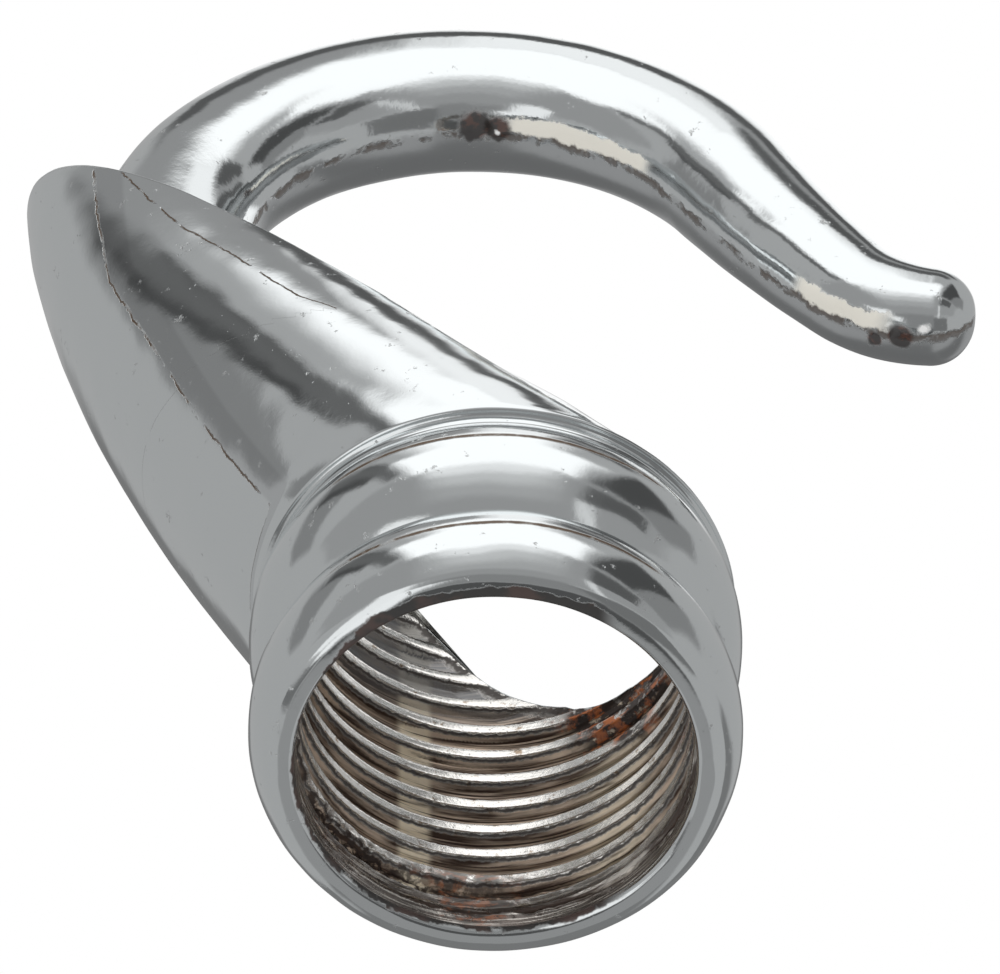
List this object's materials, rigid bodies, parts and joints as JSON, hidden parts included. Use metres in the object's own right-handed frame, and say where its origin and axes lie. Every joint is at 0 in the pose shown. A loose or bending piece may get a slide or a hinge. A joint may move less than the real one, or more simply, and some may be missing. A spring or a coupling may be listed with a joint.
{
  "type": "hook",
  "caption": "Cast chrome-plated hanging hook with a threaded beaded socket, a leaning horn cut off on a slant and a curled round arm.",
  "frame": {"origin": "middle of the threaded socket's mouth, on the socket's axis", "axes": "+Z along the socket's axis from the mouth towards the curled arm, +X towards the arm's free end, XZ is the mirror plane"},
  "size_m": [0.0454, 0.0234, 0.0595],
  "materials": {
    "plating": "bright chrome plating over a zinc casting, nickel-toned and stained inside the socket"
  },
  "bodies": {
    "root": {"hook": "plating"}
  },
  "joints": []
}
